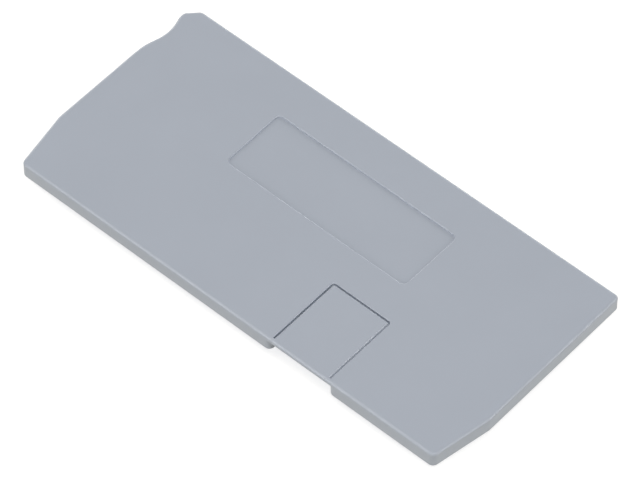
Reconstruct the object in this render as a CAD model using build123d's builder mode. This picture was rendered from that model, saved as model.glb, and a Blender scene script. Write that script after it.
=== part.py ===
"""End cover for a row of rail-mounted terminal blocks, in millimetres.

One flat moulding of grey polyamide. It closes the open side of the last block in the row.
The cover lies outer face up on the tips of its pegs: +X runs along its length, +Y from the
rail edge to the rear edge, and the origin is under its middle, in the plane of the peg tips.
"""
from math import acos, atan, degrees, radians, sin, tan
import os

from build123d import *

# Plate
plate_length = 73.1
plate_width = 34.3
plate_thickness = 2.5
outer_rim_radius = 0.4
inner_rim_radius = 0.2

# The ends narrow towards the rail edge
taper_length = 8.9
taper_inset = 1.65
rail_corner_radius = 0.9
rear_corner_radius = 0.6

# Waist in the left end: a shoulder, a hollow and a nose, then a cut corner
waist_depth = 0.9
shoulder_radius = 9.6
hollow_radius = 6.6
nose_radius = 2.7
nose_inset = 0.3
nose_flat = 0.5
corner_cut = 1.7
cut_corner_radius = 0.9

# Shallow recess for a label in the outer face
label_length = 30.3
label_depth = 0.25
label_corner_radius = 0.8
label_rim_radius = 0.15
label_from_left_end = 21.3
label_from_rear_edge = 6.4
label_from_panel = 5.5

# Break-out panel at the rail edge: a thin web, scored on three sides
panel_width = 9.6
panel_length = 12.1
panel_from_right_end = 18.9
web_thickness = 0.7
web_edge_radius = 0.1
score_depth = 0.4
score_width = 0.35
score_corner_radius = 0.4
score_rim_radius = 0.08
score_end_gap = 0.55

# Pocket behind the panel, open at the rail edge
pocket_draft = 2.0
pocket_corner_radius = 0.5
pocket_mouth_radius = 0.8

# Pegs that press into the holes in the side of the last block
peg_diameter = 3.0
peg_length = 2.0
peg_tip_chamfer = 0.4
peg_spacing_x = 54.0
peg_spacing_y = 20.0

# Planes and edges worked out from the sizes above
inner_face = peg_length
outer_face = peg_length + plate_thickness
left_end = -plate_length / 2
right_end = plate_length / 2
rail_edge = -plate_width / 2
rear_edge = plate_width / 2
label_floor = outer_face - label_depth
score_floor = outer_face - score_depth
web_underside = outer_face - web_thickness
panel_middle = right_end - panel_from_right_end - panel_width / 2
panel_back = rail_edge + panel_length

# The label recess takes the height that its margins leave between the panel and the rear edge
label_back = rear_edge - label_from_rear_edge
label_height = label_back - label_from_panel - panel_back

# Cutters run this far past the faces that they open
overrun = 1.0

# The score leans outwards from the panel and stands upright on the plate's side. It stops short
# of the rail edge. Its cutter is a block as wide as the panel, less a longer block that narrows
# towards the outer face.
score_slope = degrees(atan(score_width / score_depth))

with BuildPart() as score_cutter:
    for score_reach, score_taper, score_mode in (
        (-score_end_gap, 0, Mode.ADD),
        (overrun, score_slope, Mode.SUBTRACT),
    ):
        with BuildSketch(Plane.XY.offset(score_floor)) as scored_panel:
            with Locations((panel_middle, panel_back)):
                Rectangle(panel_width, panel_length + score_reach, align=(Align.CENTER, Align.MAX))
            fillet(scored_panel.vertices().group_by(Axis.Y)[-1], score_corner_radius)
        extrude(amount=score_depth + overrun, taper=score_taper, mode=score_mode)


# The waist's arcs meet tangent to each other, so their turns follow from depths and radii
shoulder_turn = degrees(acos(1 - waist_depth / (shoulder_radius + hollow_radius)))
nose_turn = degrees(acos(1 - (waist_depth - nose_inset) / (hollow_radius + nose_radius)))
nose_end = rear_edge - corner_cut - nose_flat
hollow_middle = nose_end - (hollow_radius + nose_radius) * sin(radians(nose_turn))
shoulder_start = hollow_middle - (shoulder_radius + hollow_radius) * sin(radians(shoulder_turn))

rail_corners = ((left_end + taper_inset, rail_edge), (right_end - taper_inset, rail_edge))
taper_ends = ((left_end, rail_edge + taper_length), (right_end, rail_edge + taper_length))
rear_right_corner = (right_end, rear_edge)
cut_corners = (
    (left_end + nose_inset, rear_edge - corner_cut),
    (left_end + nose_inset + corner_cut, rear_edge),
)

with BuildPart() as end_cover:
    # Plate
    with BuildSketch(Plane.XY.offset(inner_face)) as outline:
        with BuildLine():
            end_line = Line(taper_ends[0], (left_end, shoulder_start))
            shoulder = JernArc(end_line @ 1, (0, 1), shoulder_radius, -shoulder_turn)
            hollow = JernArc(shoulder @ 1, shoulder % 1, hollow_radius, shoulder_turn + nose_turn)
            nose = JernArc(hollow @ 1, hollow % 1, nose_radius, -nose_turn)
            Polyline(
                nose @ 1,
                cut_corners[0],
                cut_corners[1],
                rear_right_corner,
                taper_ends[1],
                rail_corners[1],
                rail_corners[0],
                taper_ends[0],
            )
        make_face()
        for corner in rail_corners:
            fillet(outline.vertices().sort_by_distance(corner)[0], rail_corner_radius)
        for corner in cut_corners:
            fillet(outline.vertices().sort_by_distance(corner)[0], cut_corner_radius)
        fillet(outline.vertices().sort_by_distance(rear_right_corner)[0], rear_corner_radius)
    extrude(amount=plate_thickness)
    fillet(end_cover.faces().sort_by(Axis.Z)[-1].edges(), outer_rim_radius)

    # Label recess
    label_middle = (
        left_end + label_from_left_end + label_length / 2,
        label_back - label_height / 2,
    )
    with BuildSketch(Plane.XY.offset(label_floor)):
        with Locations(label_middle):
            RectangleRounded(label_length, label_height, label_corner_radius)
    extrude(amount=label_depth + overrun, mode=Mode.SUBTRACT)
    fillet(end_cover.faces().sort_by(Axis.Z)[-1].inner_wires()[0].edges(), label_rim_radius)

    # Pocket behind the panel, wider towards the inner face, with a rounded mouth at the rail edge
    pocket_depth = web_underside - inner_face
    pocket_flare = (pocket_depth + overrun) * tan(radians(pocket_draft))
    with BuildSketch(Plane.XY.offset(inner_face - overrun)) as pocket_outline:
        with Locations((panel_middle, panel_back + pocket_flare)):
            Rectangle(
                panel_width + 2 * pocket_flare,
                panel_length + 2 * pocket_flare + overrun,
                align=(Align.CENTER, Align.MAX),
            )
        fillet(pocket_outline.vertices().group_by(Axis.Y)[-1], pocket_corner_radius)
    extrude(amount=pocket_depth + overrun, taper=pocket_draft, mode=Mode.SUBTRACT)
    mouth_edges = [
        end_cover.edges().filter_by(GeomType.LINE).sort_by_distance(mouth_corner)[0]
        for mouth_corner in (
            (panel_middle - panel_width / 2, rail_edge, inner_face + pocket_depth / 2),
            (panel_middle + panel_width / 2, rail_edge, inner_face + pocket_depth / 2),
        )
    ]
    fillet(mouth_edges, pocket_mouth_radius)
    web_edge = end_cover.edges().sort_by_distance((panel_middle, rail_edge, web_underside))[0]
    fillet(web_edge, web_edge_radius)

    # Inner face's rim, which follows the pocket's mouth too
    fillet(end_cover.faces().sort_by(Axis.Z)[0].edges(), inner_rim_radius)

    # Score round the panel
    add(score_cutter.part, mode=Mode.SUBTRACT)
    score_rim = end_cover.faces().sort_by(Axis.Z)[-1].inner_wires().sort_by(Axis.Y)[0]
    fillet(score_rim.edges(), score_rim_radius)

    # Pegs
    with BuildSketch(Plane.XY):
        with GridLocations(peg_spacing_x, peg_spacing_y, 2, 2):
            Circle(peg_diameter / 2)
    extrude(amount=peg_length)
    peg_tips = end_cover.faces().group_by(Axis.Z)[0]
    chamfer(peg_tips.edges(), peg_tip_chamfer)

end_cover.part.label = "end_cover"

os.makedirs("parts", exist_ok=True)
export_step(end_cover.part, "parts/end_cover.step")
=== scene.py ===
"""Looks of a terminal block end cover, in metres.

One grey moulding lies on a pale table in a light tent.
"""
import math

import bpy
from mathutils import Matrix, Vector


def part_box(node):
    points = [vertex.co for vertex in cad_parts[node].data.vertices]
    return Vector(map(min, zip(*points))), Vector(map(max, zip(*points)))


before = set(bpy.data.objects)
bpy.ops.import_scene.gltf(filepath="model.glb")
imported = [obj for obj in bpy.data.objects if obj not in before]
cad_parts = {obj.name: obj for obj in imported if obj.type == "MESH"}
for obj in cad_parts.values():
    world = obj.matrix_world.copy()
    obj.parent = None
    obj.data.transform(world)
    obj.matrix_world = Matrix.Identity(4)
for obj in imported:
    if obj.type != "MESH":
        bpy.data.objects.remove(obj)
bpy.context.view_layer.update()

# The end cover.
# One flat injection moulding of grey polyamide, pressed by its four pegs onto the open side of
# the last terminal block in a row. It is used as it comes out of its mould.
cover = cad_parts["end_cover"]
cover_low, cover_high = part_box("end_cover")


def linear(hex_colour):
    """An sRGB hex colour as linear red, green, blue and alpha."""
    channels = [int(hex_colour[i:i + 2], 16) / 255 for i in (1, 3, 5)]
    return (*(c / 12.92 if c <= 0.04045 else ((c + 0.055) / 1.055) ** 2.4 for c in channels), 1)


def add_node(tree, kind, settings=None, links=None):
    """Adds a node, sets its properties and inputs, and links inputs, by name or by number."""
    node = tree.nodes.new(kind)
    for name, value in (settings or {}).items():
        if isinstance(name, int) or name in node.inputs:
            node.inputs[name].default_value = value
        else:
            setattr(node, name, value)
    for name, socket in (links or {}).items():
        tree.links.new(socket, node.inputs[name])
    return node


# Pigmented polyamide 6.6 from a mould with a fine spark-eroded finish.
# The eye gets an even cool grey with a very fine grain, and a soft bright line along the rims
# that changes a little where the melt took up the mould's finish more or less closely.
# The real grain is under 0.1 mm wide. It is drawn coarser, so that it just shows.
polyamide_grey = linear("#A8AEB8")
polyamide_pale = linear("#ABB1BB")
polyamide_ior = 1.53
dullness_low = 0.28
dullness_high = 0.33
flow_mark_size = 0.009
flow_mark_detail = 3.0
flow_mark_breakup = 0.55
flow_noise_low = 0.3
flow_noise_high = 0.7
grain_size = 0.00028
grain_height = 0.000003

moulded_polyamide = bpy.data.materials.new("moulded_polyamide")
moulded_polyamide.use_nodes = True
tree = moulded_polyamide.node_tree
tree.nodes.clear()
place = add_node(tree, "ShaderNodeTexCoord")
flow_marks = add_node(
    tree, "ShaderNodeTexNoise",
    {
        "Scale": 1 / flow_mark_size,
        "Detail": flow_mark_detail,
        "Roughness": flow_mark_breakup,
    },
    {"Vector": place.outputs["Object"]},
)
tint = add_node(tree, "ShaderNodeValToRGB", links={"Fac": flow_marks.outputs["Fac"]})
tint.color_ramp.elements[0].color = polyamide_grey
tint.color_ramp.elements[1].color = polyamide_pale
dullness = add_node(
    tree, "ShaderNodeMapRange",
    {
        "From Min": flow_noise_low,
        "From Max": flow_noise_high,
        "To Min": dullness_low,
        "To Max": dullness_high,
    },
    {"Value": flow_marks.outputs["Fac"]},
)
grain = add_node(
    tree, "ShaderNodeTexNoise",
    {"Scale": 1 / grain_size},
    {"Vector": place.outputs["Object"]},
)
bump = add_node(
    tree, "ShaderNodeBump",
    {"Distance": grain_height},
    {"Height": grain.outputs["Fac"]},
)
plastic = add_node(
    tree, "ShaderNodeBsdfPrincipled",
    {"IOR": polyamide_ior},
    {
        "Base Color": tint.outputs["Color"],
        "Roughness": dullness.outputs["Result"],
        "Normal": bump.outputs["Normal"],
    },
)
add_node(tree, "ShaderNodeOutputMaterial", links={"Surface": plastic.outputs["BSDF"]})
cover.data.materials.clear()
cover.data.materials.append(moulded_polyamide)

# The table.
# A sheet of matt pale paper that runs far past the picture on every side. The camera and the
# cover's reflections see it burnt out to white, as in a product photograph, with a soft shadow.
paper_pale = linear("#BEBBAF")
paper_reach = 3.0
paper_glow_white = linear("#FAFBFF")
paper_glow_seen = 0.78
paper_glow_mirrored = 0.6

matt_pale_paper = bpy.data.materials.new("matt_pale_paper")
matt_pale_paper.use_nodes = True
tree = matt_pale_paper.node_tree
tree.nodes.clear()
ray = add_node(tree, "ShaderNodeLightPath")
mirrored = add_node(
    tree, "ShaderNodeMath",
    {"operation": "MAXIMUM"},
    {0: ray.outputs["Is Glossy Ray"], 1: ray.outputs["Is Transmission Ray"]},
)
glow_mirrored = add_node(
    tree, "ShaderNodeMath",
    {"operation": "MULTIPLY", 1: paper_glow_mirrored},
    {0: mirrored.outputs["Value"]},
)
glow_level = add_node(
    tree, "ShaderNodeMath",
    {"operation": "MULTIPLY_ADD", 1: paper_glow_seen},
    {0: ray.outputs["Is Camera Ray"], 2: glow_mirrored.outputs["Value"]},
)
glow = add_node(
    tree, "ShaderNodeEmission",
    {"Color": paper_glow_white},
    {"Strength": glow_level.outputs["Value"]},
)
sheet = add_node(tree, "ShaderNodeBsdfDiffuse", {"Color": paper_pale})
sheet_and_glow = add_node(
    tree, "ShaderNodeAddShader",
    links={0: sheet.outputs["BSDF"], 1: glow.outputs["Emission"]},
)
add_node(tree, "ShaderNodeOutputMaterial", links={"Surface": sheet_and_glow.outputs["Shader"]})

sheet_corners = ((-1, -1), (1, -1), (1, 1), (-1, 1))
table_mesh = bpy.data.meshes.new("table")
table_mesh.from_pydata(
    [(x * paper_reach, y * paper_reach, cover_low.z) for x, y in sheet_corners],
    [],
    [(0, 1, 2, 3)],
)
table_mesh.materials.append(matt_pale_paper)
table = bpy.data.objects.new("table", table_mesh)
bpy.context.scene.collection.objects.link(table)

# The light tent.
# White cloth stands on all sides and shows as a plain white background. Soft boxes shine through
# it from all round, most of them low, so that the rims and the score stay easy to read.
cloth_white = linear("#FFFFFF")
cloth_level = 0.04
cloth_seen = 1.0

light_tent = bpy.data.worlds.new("light_tent")
bpy.context.scene.world = light_tent
light_tent.use_nodes = True
tree = light_tent.node_tree
tree.nodes.clear()
ray = add_node(tree, "ShaderNodeLightPath")
mirrored = add_node(
    tree, "ShaderNodeMath",
    {"operation": "MAXIMUM"},
    {0: ray.outputs["Is Glossy Ray"], 1: ray.outputs["Is Transmission Ray"]},
)
seen = add_node(
    tree, "ShaderNodeMath",
    {"operation": "MAXIMUM"},
    {0: ray.outputs["Is Camera Ray"], 1: mirrored.outputs["Value"]},
)
brightness = add_node(
    tree, "ShaderNodeMapRange",
    {"To Min": cloth_level, "To Max": cloth_seen},
    {"Value": seen.outputs["Value"]},
)
cloth = add_node(
    tree, "ShaderNodeBackground",
    {"Color": cloth_white},
    {"Strength": brightness.outputs["Result"]},
)
add_node(tree, "ShaderNodeOutputWorld", links={"Surface": cloth.outputs["Background"]})


def direction(bearing, height):
    """The unit vector from the cover towards a bearing round it and a height above the table."""
    b, h = math.radians(bearing), math.radians(height)
    return Vector((math.sin(b) * math.cos(h), -math.cos(b) * math.cos(h), math.sin(h)))


# Each soft box: its bearing from the rail edge, its height in degrees, its side, and the level
# that it gives a surface turned towards it, where level 1 renders a colour as it is written
box_distance = 0.6
watts_at_level_1 = (math.pi * box_distance) ** 2
soft_boxes = {
    "rail_edge_low": (15, 12, 0.3, 0.225),
    "rail_edge_small": (-27, 30, 0.12, 0.105),
    "rail_edge_small_low": (-25, 14, 0.12, 0.120),
    "right_end_front": (70, 12, 0.3, 0.045),
    "right_end_low": (105, 18, 0.3, 0.228),
    "right_end_small": (119, 12, 0.12, 0.088),
    "rear_edge_right": (165, 18, 0.3, 0.205),
    "rear_edge_left": (205, 12, 0.3, 0.264),
    "left_end_rear": (240, 18, 0.3, 0.200),
    "left_end_front": (280, 18, 0.3, 0.095),
    "overhead_left": (-40, 65, 0.3, 0.220),
    "overhead_right": (60, 65, 0.3, 0.325),
}
cover_middle = (cover_low + cover_high) / 2
for name, (bearing, height, side, level) in soft_boxes.items():
    lamp = bpy.data.lights.new(name, "AREA")
    lamp.shape = "SQUARE"
    lamp.size = side
    lamp.energy = watts_at_level_1 * level
    box = bpy.data.objects.new(name, lamp)
    away = direction(bearing, height)
    box.location = cover_middle + away * box_distance
    box.rotation_mode = "QUATERNION"
    box.rotation_quaternion = away.to_track_quat("Z", "Y")
    bpy.context.scene.collection.objects.link(box)

# The camera.
# A long lens looks down on the outer face from beyond the rail edge, as in the photograph. Its
# bearing and height are in degrees, its sensor's width in millimetres.
camera_bearing = 41.36
camera_height = 52.48
camera_distance = 0.6086
focal_length_in_pixels = 4786
picture_width = 640
sensor_width = 36.0
aim_x = 0.002305
aim_y = -0.00117

lens = bpy.data.cameras.new("camera")
lens.sensor_width = sensor_width
lens.lens = focal_length_in_pixels / picture_width * sensor_width
camera = bpy.data.objects.new("camera", lens)
back = direction(camera_bearing, camera_height)
camera.location = Vector((aim_x, aim_y, cover_high.z)) + back * camera_distance
camera.rotation_mode = "QUATERNION"
camera.rotation_quaternion = (-back).to_track_quat("-Z", "Y")
bpy.context.scene.collection.objects.link(camera)
bpy.context.scene.camera = camera
bpy.context.scene.view_settings.view_transform = "Standard"
